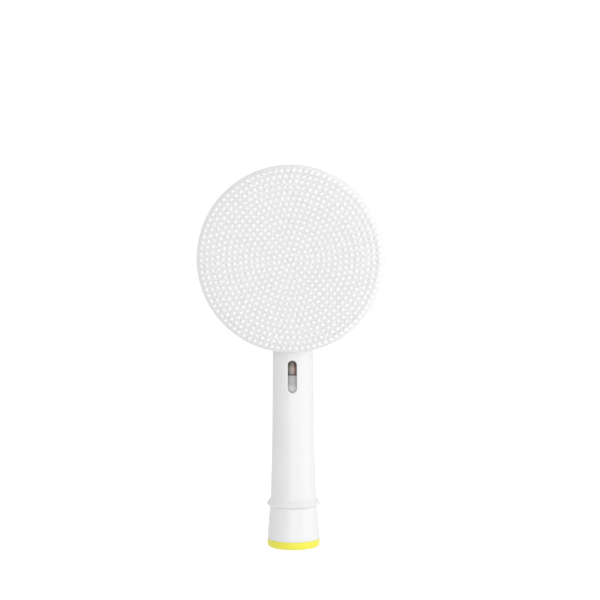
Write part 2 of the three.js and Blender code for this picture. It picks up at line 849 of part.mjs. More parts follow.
const driveLink = new THREE.Group();
driveLink.add(driveCoupling());
driveLink.add(shaftClip());
driveLink.add(driveRod());
driveLink.add(crankArm());
driveLink.add(crankPin());

const head = new THREE.Group();
head.position.z = axleHeight;
head.add(rotorHub());
head.add(hubBush());
head.add(backShell());
head.add(carrierPlate());
for (let i = 0; i < screwCount; i += 1) head.add(carrierScrew(i));
head.add(siliconePad());

const brush = new THREE.Group();
brush.add(neck, axle, driveLink, head);

export default brush;
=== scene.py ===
# The facial cleansing brush head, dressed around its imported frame.
#
# Lengths are written in millimetres and turned into metres where a mesh is made. +Z runs up the
# neck and the pad faces -Y. Pieces of the head are turned about an axis that points forward, so
# their profiles are written as [radius, forward].

import math

import bmesh
import bpy
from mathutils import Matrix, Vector


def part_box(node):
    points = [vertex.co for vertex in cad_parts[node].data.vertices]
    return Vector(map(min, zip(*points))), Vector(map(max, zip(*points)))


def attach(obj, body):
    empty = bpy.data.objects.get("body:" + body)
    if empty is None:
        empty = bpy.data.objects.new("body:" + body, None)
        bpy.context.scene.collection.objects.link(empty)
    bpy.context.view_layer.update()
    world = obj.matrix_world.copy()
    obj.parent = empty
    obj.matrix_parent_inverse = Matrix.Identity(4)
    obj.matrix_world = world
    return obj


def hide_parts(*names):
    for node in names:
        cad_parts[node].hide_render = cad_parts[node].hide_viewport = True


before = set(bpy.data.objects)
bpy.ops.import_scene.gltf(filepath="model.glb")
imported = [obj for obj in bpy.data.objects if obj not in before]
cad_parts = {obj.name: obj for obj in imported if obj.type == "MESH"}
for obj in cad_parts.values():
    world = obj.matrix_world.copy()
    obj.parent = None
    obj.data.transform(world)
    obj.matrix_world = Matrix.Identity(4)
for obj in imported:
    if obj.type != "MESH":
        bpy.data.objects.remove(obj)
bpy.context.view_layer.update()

MM = 0.001
TINY = 1e-6
SHARP_EDGE = 40  # an edge that turns by more degrees than this stays sharp

# ---------------------------------------------------------------- sizes read from the frame


def node_box(node):
    """The lowest and highest corner of a CAD node, in millimetres."""
    low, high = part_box(node)
    return Vector(low) / MM, Vector(high) / MM


neck_low, _ = node_box("neck_shell")
_, ring_high = node_box("color_ring")
insert_low, insert_high = node_box("socket_insert")
coupling_low, coupling_high = node_box("drive_coupling")
rod_low, rod_high = node_box("drive_rod")
rotor_low, rotor_high = node_box("rotor_hub")
shell_low, shell_high = node_box("back_shell")
pad_low, pad_high = node_box("silicone_pad")
bush_low, bush_high = node_box("lower_guide_bush")

AXLE_Z = (pad_low.z + pad_high.z) / 2
PAD_RADIUS = (pad_high.x - pad_low.x) / 2
SHELL_RADIUS = (shell_high.x - shell_low.x) / 2
SHELL_BACK = -shell_high.y
SHELL_RIM = -shell_low.y
ROTOR_BACK_END = -rotor_high.y
PLATE_BACK = -rotor_low.y
PAD_BACK = -pad_high.y
NUB_TIP = -pad_low.y
RING_TOP = neck_low.z
INSERT_RADIUS = (bush_high.x - bush_low.x) / 2  # the bush on the insert is as wide
COUPLING_RADIUS = coupling_high.x
COUPLING_TOP = coupling_high.z
ROD_RADIUS = rod_high.x

# ---------------------------------------------------------------- sizes of the neck

FIT_GAP = 0.3
CUT_OVER = 1  # how far a cutting tool runs past the face that it cuts
MOUTH_RADIUS = 5.6
COLLAR_RADIUS = 6.05
RING_CORNER = 0.85
BORE_RADIUS = 4.6
NECK_TOP_RADIUS = 5.5
NECK_ROOT_RADIUS = 6.44
NECK_TAPER = 19  # the height over which the taper falls to about a third
SKIRT_TOP_RADIUS = 6.55
SKIRT_FOOT_RADIUS = 7.27
INSERT_BORE_RADIUS = 5.15
LEDGE_BORE_RADIUS = 5.7
SKIRT_BORE_RADIUS = 6.35
SKIRT_WAIST_IN = 0.32  # how far the skirt's curve is drawn in at half height
COLLAR_ROOM = ring_high.z + FIT_GAP
INSERT_FLANGE = 1.4
LEDGE_Z = insert_low.z + INSERT_FLANGE
NECK_STEP_Z = bush_high.z
SKIRT_HEIGHT = 9.1
RIB_REACH = 0.99
RIB_TIP = 0.2  # height of the rib's blunt edge
RIB_UNDERSIDE = 0.85  # from the skirt up to the middle of that edge
RIB_SLOPE = 1.5  # and from there up to the neck
RIB_Z = RING_TOP + SKIRT_HEIGHT + RIB_UNDERSIDE
WINDOW_HALF = 2.45 / 2
WINDOW_BOTTOM = COUPLING_TOP - 4.7
WINDOW_TOP = COUPLING_TOP + 4.2
STRAIGHT_BOTTOM = WINDOW_BOTTOM + WINDOW_HALF  # the window's sides are straight from here
STRAIGHT_TOP = WINDOW_TOP - WINDOW_HALF  # to here
WINDOW_ROUND = 0.36  # the rounding of its outer edge
WINDOW_CHAMFER = 0.1  # and the chamfer of its edge on the bore
LIT_FOOT_BELOW = COUPLING_TOP - 2.4  # the coupling's foot, painted paler as painted light
LIT_FOOT_EDGE = 1  # over how much height that painted light fades
SHADOW_ABOVE = COUPLING_TOP + 2.9  # the rod's top, darkened by a painted shadow from here up
SHADOW_EDGE = 1.4
PAINTED_LIGHT_HALF = 0.8  # the rod's painted highlight on its left turns into painted shade on its right from this far left to as far right

# ---------------------------------------------------------------- sizes of the gear cup

ROTOR_RADIUS = 7.2
CUP_INNER_RADIUS = 7.8
CUP_RADIUS = 9.0
CUP_FRONT = 5.8
CUP_BACK_CORNER = 3.5
CUP_FLOOR = -4.4  # forward of the neck's axis, so this lies behind it
CUP_CHAMFER = 2.2
CUP_TRIM = 1.5  # what the gear room's cut takes off the cup's front
CUP_BLEND = 1.4  # how near the cup's skin the neck's starts to run into it
BACK_BLEND = 0.2  # the same at the back, where both lie on one line
NECK_END = 5  # how far below the axle the neck starts to draw in
NECK_END_CURVE = 18  # the larger, the slower it draws in
SHOULDER_LENGTH = 7
SHOULDER_START = AXLE_Z - CUP_RADIUS - SHOULDER_LENGTH
SHOULDER_INSET = 0.6
AXLE_HOLE_RADIUS = 1.15
AXLE_BOSS_RADIUS = 2.5
AXLE_BOSS_FACE = -2.4
AXLE_BACK = -4.6

# ---------------------------------------------------------------- sizes of the pad

NUB_PITCH = 1.5  # between rings
NUB_START = math.radians(10.15)  # the ray on which every ring starts
FULL_RINGS = 12
OUTER_RING_COUNTS = (73, 81, 87, 93)
NUB_RADIUS = 0.55
NUB_LENGTH = 1.2
NUB_FOOT = 0.16  # how far a nub's foot spreads into the face
NUB_TAPER = 0.9  # a nub's radius at its dome, as a share of that at its foot
NUB_DOME = 0.42
NUB_ROOT = 0.25  # how far a nub reaches into the pad
ROOT_SPREAD = 1.6 * NUB_FOOT  # how much wider it is down there
NUB_MARGIN = 0.3
PAD_CROWN = 0.9
PAD_FLATNESS = 6  # the larger, the flatter the crown's middle
PAD_FACE_RADIUS = 24.35
PAD_STEP_IN = 1.7  # from the back shell's outside to the pad's step
RIM_START = 75  # where the rim's arc leaves the face, in degrees

# ---------------------------------------------------------------- sizes of the shell

SHELL_WALL = 1.6
SHELL_RIM_WALL = 1.4
SHELL_FLAT = 17
SCREW_COUNT = 3
SCREW_CIRCLE = 12.5
SCREW_BOSS_RADIUS = 2
SCREW_BOSS_START = 0.8  # in front of the shell's back
PILOT_RADIUS = 1
PILOT_DEPTH = 3

# ---------------------------------------------------------------- facets

WIDE_SIDES = 192
TURN_SIDES = 144
INNER_SIDES = 96
SMALL_SIDES = 64
BOSS_SIDES = 48
PILOT_SIDES = 32
NUB_SIDES = 14
CROWN_STEPS = 40

# ================================================================ mesh helpers


def finish_mesh(name, points, faces, sharp=SHARP_EDGE):
    """An object from points in millimetres, with its faces pointing out."""
    mesh = bpy.data.meshes.new(name)
    mesh.from_pydata([Vector(point) * MM for point in points], [], faces)
    surface = bmesh.new()
    surface.from_mesh(mesh)
    bmesh.ops.recalc_face_normals(surface, faces=surface.faces)
    surface.to_mesh(mesh)
    surface.free()
    shade(mesh, sharp)
    piece = bpy.data.objects.new(name, mesh)
    bpy.context.scene.collection.objects.link(piece)
    return piece


def shade(mesh, sharp=SHARP_EDGE):
    """Smooth shading, except at edges that turn by more than an angle in degrees."""
    for face in mesh.polygons:
        face.use_smooth = True
    mesh.set_sharp_from_angle(angle=math.radians(sharp))


def arc(centre, reach, start, end, steps=8):
    """Points of an ellipse's arc, with its angles in degrees."""
    points = []
    for i in range(steps + 1):
        angle = math.radians(start + (end - start) * i / steps)
        across = centre[0] + reach[0] * math.cos(angle)
        points.append((across, centre[1] + reach[1] * math.sin(angle)))
    return points


def rounded(corners, closed=True, steps=5):
    """A profile from corners of (across, along, rounding)."""
    most = 0.48  # of a side's length that one rounding may take
    points = []
    count = len(corners)
    for i, corner in enumerate(corners):
        here = Vector(corner[:2])
        rounding = corner[2] if len(corner) > 2 else 0
        ends = not closed and i in (0, count - 1)
        if rounding == 0 or ends:
            points.append(tuple(here))
            continue
        before = Vector(corners[i - 1][:2]) - here
        after = Vector(corners[(i + 1) % count][:2]) - here
        half = before.angle(after) / 2
        reach = min(rounding / math.tan(half), most * before.length, most * after.length)
        first = here + before.normalized() * reach
        last = here + after.normalized() * reach
        for step in range(steps + 1):
            share = step / steps
            inner = first.lerp(here, share)
            outer = here.lerp(last, share)
            points.append(tuple(inner.lerp(outer, share)))
    return points


def rod_profile(radius, start, end):
    """The profile of a plain rod."""
    return [(0, start), (radius, start), (radius, end), (0, end)]


def laid_out(rings):
    """All points of some rings, and the number at which each ring starts."""
    points = []
    starts = []
    for ring in rings:
        starts.append(len(points))
        points.extend(ring)
    return points, starts


def rings_to_mesh(rings, closed):
    """Points and faces of rings laid one after another; a ring of one point closes an end."""
    points, starts = laid_out(rings)
    faces = []
    pairs = list(zip(range(len(rings)), range(1, len(rings))))
    if closed:
        pairs.append((len(rings) - 1, 0))
    for a, b in pairs:
        faces.extend(strip(rings[a], starts[a], rings[b], starts[b]))
    return points, faces


def strip(ring_a, start_a, ring_b, start_b):
    """The faces between two rings, of which one may be a single point."""
    count = max(len(ring_a), len(ring_b))
    faces = []
    for i in range(count):
        j = (i + 1) % count
        if len(ring_a) == 1:
            faces.append((start_a, start_b + j, start_b + i))
        elif len(ring_b) == 1:
            faces.append((start_a + i, start_a + j, start_b))
        else:
            faces.append((start_a + i, start_a + j, start_b + j, start_b + i))
    return faces


def on_z(radius, height, angle):
    """A point around the neck's axis."""
    return (radius * math.cos(angle), radius * math.sin(angle), height)


def on_line(x, z):
    """Gives the function for points around a line that points forward, x and z off the axle."""

    def place(radius, forward, angle):
        up = AXLE_Z + z + radius * math.sin(angle)
        return (x + radius * math.cos(angle), -forward, up)

    return place


on_axle = on_line(0, 0)


def level_outline(x, y, z):
    """A point of an outline that lies level."""
    return (x, y, z)


def facing_outline(x, above_axle, forward):
    """A point of an outline that faces forward."""
    return (x, -forward, AXLE_Z + above_axle)


def turned_parts(profile, place, sides=TURN_SIDES):
    """Points and faces of a profile turned about an axis. A profile off the axis is closed."""
    rings = []
    for radius, along in profile:
        if radius < TINY:
            rings.append([place(0, along, 0)])
        else:
            rings.append([place(radius, along, 2 * math.pi * i / sides) for i in range(sides)])
    closed = profile[0][0] > TINY and profile[-1][0] > TINY
    return rings_to_mesh(rings, closed)


def turned(name, profile, place, sides=TURN_SIDES):
    """An object from a profile turned about an axis."""
    return finish_mesh(name, *turned_parts(profile, place, sides))


def box_piece(name, low, high):
    """A block between two corners."""
    points = [
        (x, y, z)
        for x in (low[0], high[0])
        for y in (low[1], high[1])
        for z in (low[2], high[2])
    ]
    faces = [(0, 1, 3, 2), (4, 6, 7, 5), (0, 4, 5, 1), (2, 3, 7, 6), (0, 2, 6, 4), (1, 5, 7, 3)]
    return finish_mesh(name, points, faces)


def outline_piece(name, outline, place, start, end):
    """A straight piece with the same outline between two places along its axis."""
    rings = [[place(a, b, along) for a, b in outline] for along in (start, end)]
    points, faces = rings_to_mesh(rings, False)
    count = len(outline)
    faces.append(tuple(range(count)))
    faces.append(tuple(range(2 * count - 1, count - 1, -1)))
    return finish_mesh(name, points, faces)


def settle(piece):
    """Applies the piece's modifiers."""
    graph = bpy.context.evaluated_depsgraph_get()
    mesh = bpy.data.meshes.new_from_object(piece.evaluated_get(graph))
    piece.modifiers.clear()
    old = piece.data
    piece.data = mesh
    bpy.data.meshes.remove(old)


def combine(piece, tool, operation, sharp=SHARP_EDGE):
    """Cuts the piece with the tool, or joins the tool to it, and deletes the tool."""
    step = piece.modifiers.new(operation, "BOOLEAN")
    step.object = tool
    step.operation = operation
    step.solver = "MANIFOLD"
    settle(piece)
    mesh = tool.data
    bpy.data.objects.remove(tool)
    bpy.data.meshes.remove(mesh)
    shade(piece.data, sharp)


def pad_face(radius):
    """How far forward the pad's crowned face is, at a radius from the axle."""
    edge = NUB_TIP - NUB_LENGTH - PAD_CROWN
    return edge + PAD_CROWN * (1 - (radius / PAD_FACE_RADIUS) ** PAD_FLATNESS)


# ================================================================ materials


def new_material(name):
    """A fresh material with its nodes, its links and its shader."""
    material = bpy.data.materials.new(name)
    material.use_nodes = True
    nodes = material.node_tree.nodes
    return material, nodes, material.node_tree.links, nodes["Principled BSDF"]


def fill(node, values):
    """Sets some of a node's inputs, by their names or their places."""
    for name, value in values.items():
        node.inputs[name].default_value = value


def opened(material):
    """A finished material's nodes, links and shader, and the output that gives its colour."""
    nodes = material.node_tree.nodes
    shader = nodes["Principled BSDF"]
    colour = shader.inputs["Base Color"].links[0].from_socket
    return nodes, material.node_tree.links, shader, colour


def noise(nodes, links, scale, detail=3.0, stretch=(1, 1, 1)):
    """A noise over the object's own coordinates, in features per metre."""
    place = nodes.new("ShaderNodeTexCoord")
    mapping = nodes.new("ShaderNodeMapping")
    texture = nodes.new("ShaderNodeTexNoise")
    fill(mapping, {"Scale": stretch})
    fill(texture, {"Scale": scale, "Detail": detail})
    links.new(place.outputs["Object"], mapping.inputs["Vector"])
    links.new(mapping.outputs["Vector"], texture.inputs["Vector"])
    return texture


def remap(nodes, links, value, start, end, low=0, high=1):
    """A value that runs from low to high while another runs from a start to an end."""
    scale = nodes.new("ShaderNodeMapRange")
    fill(scale, {"From Min": start, "From Max": end, "To Min": low, "To Max": high})
    links.new(value, scale.inputs["Value"])
    return scale.outputs["Result"]


def uneven(nodes, links, source, low, high):
    """The middle of a noise, where most of it lies, mapped to a range of values."""
    return remap(nodes, links, source.outputs["Fac"], 0.3, 0.7, low, high)


def share_along(nodes, links, axis, start, end):
    """How far a point is along an axis between two places in millimetres, from 0 to 1."""
    place = nodes.new("ShaderNodeTexCoord")
    parts = nodes.new("ShaderNodeSeparateXYZ")
    links.new(place.outputs["Object"], parts.inputs["Vector"])
    return remap(nodes, links, parts.outputs[axis], start * MM, end * MM)


def tint(nodes, links, value, first, last, start=0.0, end=1.0):
    """A colour that runs from one to another as a value rises."""
    ramp = nodes.new("ShaderNodeValToRGB")
    ramp.color_ramp.elements[0].position = start
    ramp.color_ramp.elements[1].position = end
    ramp.color_ramp.elements[0].color = (*first, 1)
    ramp.color_ramp.elements[1].color = (*last, 1)
    links.new(value, ramp.inputs["Fac"])
    return ramp.outputs["Color"]


def product(nodes, links, first, second):
    """One colour times another."""
    both = nodes.new("ShaderNodeMix")
    both.data_type = "RGBA"
    both.blend_type = "MULTIPLY"
    fill(both, {"Factor": 1})
    links.new(first, both.inputs["A"])
    links.new(second, both.inputs["B"])
    return both.outputs["Result"]


def mottle(nodes, links, shader, colour, change, scale):
    """Colour that drifts a little across the surface."""
    drift = noise(nodes, links, scale, detail=2.0)
    low = [c * (1 - change) for c in colour]
    high = [min(1, c * (1 + change)) for c in colour]
    shades = tint(nodes, links, drift.outputs["Fac"], low, high, start=0.35, end=0.65)
    links.new(shades, shader.inputs["Base Color"])


def grain(nodes, links, shader, scale, depth, strength=0.5, stretch=(1, 1, 1)):
    """A fine bump, with its depth in millimetres."""
    texture = noise(nodes, links, scale, detail=4.0, stretch=stretch)
    bump = nodes.new("ShaderNodeBump")
    fill(bump, {"Strength": strength, "Distance": depth * MM})
    links.new(texture.outputs["Fac"], bump.inputs["Height"])
    links.new(bump.outputs["Normal"], shader.inputs["Normal"])


def let_light_in(shader, weight, colour, depth):
    """Light under the surface, with its depth in millimetres."""
    fill(shader, {
        "Subsurface Weight": weight,
        "Subsurface Radius": colour,
        "Subsurface Scale": depth * MM,
    })


def moulded_plastic(name, colour, roughness, depth, change, glow=0):
    """Satin moulded plastic: a grain of some depth, faint flow marks and light under its skin."""
    material, nodes, links, shader = new_material(name)
    mottle(nodes, links, shader, colour, change, scale=90)
    flow = noise(nodes, links, scale=260, stretch=(1, 1, 0.25))
    rough = uneven(nodes, links, flow, roughness - 0.05, roughness + 0.05)
    links.new(rough, shader.inputs["Roughness"])
    grain(nodes, links, shader, scale=5200, depth=depth)
    fill(shader, {"IOR": 1.5})
    if glow:
        let_light_in(shader, glow, (1.0, 0.95, 0.9), 0.6)
    return material


def height_on_pad(nodes, links):
    """How far a point stands above the pad's crowned face: 0 on the face, 1 at a nub's tip.

    It is the point's own place forward, less pad_face at its radius, in lengths of a nub.
    """
    place = nodes.new("ShaderNodeTexCoord")
    from_middle = nodes.new("ShaderNodeMapping")
    across = 1 / (PAD_FACE_RADIUS * MM)
    away = -AXLE_Z / PAD_FACE_RADIUS
    fill(from_middle, {"Scale": (across, 0, across), "Location": (0, 0, away)})
    reach = nodes.new("ShaderNodeVectorMath")
    reach.operation = "DOT_PRODUCT"
    parts = nodes.new("ShaderNodeSeparateXYZ")
    forward = nodes.new("ShaderNodeMath")
    forward.operation = "MULTIPLY_ADD"
    fill(forward, {1: -1 / (NUB_LENGTH * MM), 2: -pad_face(0) / NUB_LENGTH})
    fall = nodes.new("ShaderNodeMath")
    fall.operation = "POWER"
    fill(fall, {1: PAD_FLATNESS / 2})
    height = nodes.new("ShaderNodeMath")
    height.operation = "MULTIPLY_ADD"
    fill(height, {1: PAD_CROWN / NUB_LENGTH})
    links.new(place.outputs["Object"], from_middle.inputs["Vector"])
    links.new(from_middle.outputs["Vector"], reach.inputs[0])
    links.new(from_middle.outputs["Vector"], reach.inputs[1])
    links.new(place.outputs["Object"], parts.inputs["Vector"])
    links.new(parts.outputs["Y"], forward.inputs[0])
    links.new(reach.outputs["Value"], fall.inputs[0])
    links.new(fall.outputs["Value"], height.inputs[0])
    links.new(forward.outputs["Value"], height.inputs[2])
    return height.outputs["Value"]


def moulded_silicone(name, face_shade_colour, tip_highlight_colour):
    """Soft silicone: the nubs let light through and are smoother than the face; painted shade
    darkens the face between them and a painted highlight whitens their tips.
    """
    material, nodes, links, shader = new_material(name)
    height = height_on_pad(nodes, links)
    # painted shade on the face between the nubs, rising to a painted highlight on the nubs' tips
    colour = tint(nodes, links, height, face_shade_colour, tip_highlight_colour, start=0.2, end=0.62)
    links.new(colour, shader.inputs["Base Color"])
    rough = remap(nodes, links, height, start=0.25, end=0.9, low=0.6, high=0.36)
    links.new(rough, shader.inputs["Roughness"])
    grain(nodes, links, shader, scale=7000, depth=0.003, strength=0.3)
    let_light_in(shader, 0.2, (1.0, 0.97, 0.94), 0.3)
    fill(shader, {"IOR": 1.41, "Sheen Weight": 0.08, "Sheen Roughness": 0.5})
    return material


def turned_metal(name, colour, roughness, stretch):
    """Turned or drawn metal: fine lines along its working direction and a little tarnish."""
    material, nodes, links, shader = new_material(name)
    mottle(nodes, links, shader, colour, change=0.08, scale=700)
    lines = noise(nodes, links, scale=3000, detail=5.0, stretch=stretch)
    rough = uneven(nodes, links, lines, roughness - 0.08, roughness + 0.1)
    links.new(rough, shader.inputs["Roughness"])
    grain(nodes, links, shader, scale=3600, depth=0.004, strength=0.4, stretch=stretch)
    fill(shader, {"Metallic": 1, "Anisotropic": 0.4})
    return material


def sleeve_with_painted_light(name, colour, lit_foot_colour, roughness):
    """Moulded plastic whose lower part, below a soft edge, is painted paler as painted light."""
    material = moulded_plastic(name, (1, 1, 1), roughness, depth=0.005, change=0.03)
    nodes, links, shader, shades = opened(material)
    height = share_along(nodes, links, "Z", LIT_FOOT_BELOW - LIT_FOOT_EDGE, LIT_FOOT_BELOW)
    # painted light: the foot is painted paler than the top
    grade = tint(nodes, links, height, lit_foot_colour, colour)
    links.new(product(nodes, links, shades, grade), shader.inputs["Base Color"])
    return material


def rod_with_painted_light(name, pale, red, roughness):
    """A drawn rod with painted light: a pale painted highlight on its left, red-brown painted shade
    on its right and a painted shadow darkening its top.
    """
    material = turned_metal(name, (0.92, 0.92, 0.92), roughness, stretch=(1, 1, 0.05))
    nodes, links, shader, shades = opened(material)
    across = share_along(nodes, links, "X", -PAINTED_LIGHT_HALF, PAINTED_LIGHT_HALF)
    # painted highlight on the left, turning into red-brown painted shade on the right
    painted_sides = tint(nodes, links, across, pale, red)
    height = share_along(nodes, links, "Z", SHADOW_ABOVE - SHADOW_EDGE, SHADOW_ABOVE)
    # painted shadow darkening the rod's top
    painted_top_shadow = tint(nodes, links, height, (1, 1, 1), (0.42, 0.42, 0.42))
    with_painted_sides = product(nodes, links, shades, painted_sides)
    links.new(product(nodes, links, with_painted_sides, painted_top_shadow), shader.inputs["Base Color"])
    fill(shader, {"Metallic": 0.3})
    return material


WHITE_PLASTIC = moulded_plastic(
    "white_satin_plastic", colour=(0.825, 0.83, 0.825),
    roughness=0.34, depth=0.003, change=0.008, glow=0.3)
RING_PLASTIC = moulded_plastic(
    "yellow_satin_plastic", colour=(0.87, 0.82, 0.07),
    roughness=0.3, depth=0.003, change=0.02, glow=0.15)
INNER_PLASTIC = moulded_plastic(
    "inner_white_plastic", colour=(0.74, 0.75, 0.75),
    roughness=0.48, depth=0.006, change=0.02, glow=0.05)
GREY_PLASTIC = moulded_plastic(
    "grey_acetal", colour=(0.53, 0.53, 0.54), roughness=0.45, depth=0.005, change=0.03)
BEARING_PLASTIC = moulded_plastic(
    "natural_acetal", colour=(0.66, 0.63, 0.56),
    roughness=0.42, depth=0.004, change=0.03, glow=0.1)
# the face colour is painted shade between the nubs, the tip colour a painted highlight on their
# tips
SILICONE = moulded_silicone(
    "white_silicone", face_shade_colour=(0.853, 0.858, 0.858), tip_highlight_colour=(0.97, 0.97, 0.97))
STEEL = turned_metal(
    "turned_steel", colour=(0.56, 0.53, 0.50), roughness=0.3, stretch=(1, 1, 0.06))
# its paler foot colour is painted light
SLEEVE_PLASTIC = sleeve_with_painted_light(
    "grey_sleeve_acetal", colour=(0.48, 0.48, 0.485), lit_foot_colour=(0.68, 0.68, 0.68),
    roughness=0.45)
# pale is a painted highlight, red a painted shade, and the top gets a painted shadow
STEEL_WITH_PAINTED_LIGHT = rod_with_painted_light(
    "drawn_steel_with_painted_light", pale=(0.90, 0.86, 0.79), red=(0.56, 0.33, 0.30), roughness=0.5)


def dress(piece, material, body, node):
    """Gives a piece its material, and puts it on a body in place of a CAD node."""
    piece.data.materials.clear()
    piece.data.materials.append(material)
    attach(piece, body)
    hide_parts(node)


def repaint(node, material):
    """Gives a CAD node that keeps its shape a finer material."""
    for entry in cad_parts[node].material_slots:
        entry.link = "OBJECT"
        entry.material = material


# ================================================================ the neck

FRONT = -math.pi / 2
COLUMNS = TURN_SIDES
PATCH_COLUMNS = 9  # on each side of the window's middle
WINDOW_MARGIN = 1.1  # above and below the window, in the patch around it
WINDOW_ROW = 0.5
MARGIN_ROW = 0.4
PLAIN_ROW = 1.2
LONG_ROW = 2  # next to the window's rows in the bore, where nothing shows
FAN_START = 2  # how far up into the cup the level cuts go
CUP_ROWS = 90
SKIRT_STEPS = 16
CAST_REACH = 30
CAST_HALVINGS = 26


def column_angle(i):
    """Where a column of the neck stands: the first is at the window's middle."""
    return FRONT + 2 * math.pi * i / COLUMNS


def neck_radius(z):
    """The neck's outside radius, from the rib up."""
    fade = math.exp(-(z - RIB_Z) / NECK_TAPER)
    return NECK_TOP_RADIUS + (NECK_ROOT_RADIUS - NECK_TOP_RADIUS) * fade


PATCH_RADIUS = neck_radius((WINDOW_BOTTOM + WINDOW_TOP) / 2)


def straight_steps(start, end, pitch):
    """Places from a start to an end, about one pitch apart."""
    count = max(1, round(abs(end - start) / pitch))
    return [start + (end - start) * i / count for i in range(count + 1)]


def window_rows():
    """Heights of the rows by the window, with one at each end of its straight sides."""
    margin = WINDOW_HALF + WINDOW_MARGIN
    below = straight_steps(STRAIGHT_BOTTOM - margin, STRAIGHT_BOTTOM, MARGIN_ROW)
    beside = straight_steps(STRAIGHT_BOTTOM, STRAIGHT_TOP, WINDOW_ROW)
    above = straight_steps(STRAIGHT_TOP, STRAIGHT_TOP + margin, MARGIN_ROW)
    return below + beside[1:] + above[1:]


def skirt_profile():
    """The outside from the skirt's foot to just above the rib, as (radius, z)."""
    rib_bottom = RIB_Z - RIB_UNDERSIDE
    rib_top = RIB_Z + RIB_SLOPE
    above_rib = rib_top + 0.8
    rib_radius = NECK_ROOT_RADIUS + RIB_REACH
    foot = Vector((SKIRT_FOOT_RADIUS, RING_TOP))
    middle = Vector((SKIRT_FOOT_RADIUS - SKIRT_WAIST_IN, (RING_TOP + rib_bottom) / 2))
    root = Vector((SKIRT_TOP_RADIUS, rib_bottom))
    points = []
    for i in range(SKIRT_STEPS + 1):
        share = i / SKIRT_STEPS
        points.append(tuple(foot.lerp(middle, share).lerp(middle.lerp(root, share), share)))
    rib = rounded([
        (*points[-2], 0),
        (*root, 0.25),
        (rib_radius, RIB_Z - RIB_TIP / 2, 0.1),
        (rib_radius, RIB_Z + RIB_TIP / 2, 0.1),
        (neck_radius(rib_top), rib_top, 0.5),
        (neck_radius(above_rib), above_rib, 0),
    ], closed=False, steps=6)
    return points[:-2] + rib


def cup_distance(x, y, z):
    """Signed distance to the neck's top and the gear cup, blended; below zero inside.

    The blend is wide on the flanks and narrow at the back, where both lie on one line: aside is
    0 on the back's middle line, and 1 from a neck's radius away from it.
    """
    share = min(1.0, max(0.0, (z - SHOULDER_START) / (AXLE_Z - SHOULDER_START)))
    depth = neck_radius(z)
    width = depth + (CUP_RADIUS - SHOULDER_INSET - NECK_TOP_RADIUS) * share * share
    neck = (math.hypot(x / width, y / depth) - 1) * depth
    drawn_in = max(0.0, z - AXLE_Z + NECK_END)
    neck += drawn_in * drawn_in / NECK_END_CURVE
    outwards = math.hypot(x, z - AXLE_Z) - (CUP_RADIUS - CUP_BACK_CORNER)
    backwards = y - (NECK_TOP_RADIUS - CUP_BACK_CORNER)
    outside = math.hypot(max(outwards, 0), max(backwards, 0))
    cup = outside + min(max(outwards, backwards), 0) - CUP_BACK_CORNER
    aside = min(1.0, math.hypot(x, min(y, 0)) / NECK_TOP_RADIUS)
    blend = BACK_BLEND + (CUP_BLEND - BACK_BLEND) * aside * aside * (3 - 2 * aside)
    mix = max(0.0, blend - abs(neck - cup)) / blend
    joined = min(neck, cup) - mix * mix * blend / 4
    return max(joined, -y - CUP_FRONT - CUP_TRIM)


def cast(start, way):
    """The point where a ray from inside leaves the neck and cup."""
    low, high = 0, CAST_REACH
    for _ in range(CAST_HALVINGS):
        middle = (low + high) / 2
        point = start + way * middle
        if cup_distance(*point) < 0:
            low = middle
        else:
            high = middle
    return start + way * low


def neck_rings():
    """The rings down the bore and up the outside to the shoulder, and how many are inside."""
    window = window_rows()
    skirt = skirt_profile()
    bore_top = AXLE_Z - ROTOR_RADIUS + FIT_GAP
    inner = [(0, bore_top), (BORE_RADIUS, bore_top), (BORE_RADIUS, window[-1] + LONG_ROW)]
    inner += [(BORE_RADIUS, z) for z in reversed(window)]
    inner += rounded([
        (BORE_RADIUS, window[0] - LONG_ROW, 0),
        (BORE_RADIUS, NECK_STEP_Z, 0.1),
        (INSERT_BORE_RADIUS, NECK_STEP_Z, 0.1),
        (INSERT_BORE_RADIUS, LEDGE_Z, 0.1),
        (LEDGE_BORE_RADIUS, LEDGE_Z, 0.1),
        (LEDGE_BORE_RADIUS, COLLAR_ROOM, 0.1),
        (SKIRT_BORE_RADIUS, COLLAR_ROOM, 0.1),
        (SKIRT_BORE_RADIUS, RING_TOP, 0.08),
        (SKIRT_FOOT_RADIUS, RING_TOP, 0.12),
        skirt[1],
    ], closed=False, steps=3)[:-1]
    _, above_rib = skirt[-1]
    heights = straight_steps(above_rib, window[0], PLAIN_ROW)[1:-1] + window
    heights += straight_steps(window[-1], SHOULDER_START, PLAIN_ROW)[1:]
    outer = skirt[2:] + [(neck_radius(z), z) for z in heights]
    rings = []
    for radius, z in inner + outer:
        if radius == 0:
            rings.append([(0, 0, z)])
        else:
            rings.append([on_z(radius, z, column_angle(i)) for i in range(COLUMNS)])
    return rings, len(inner)


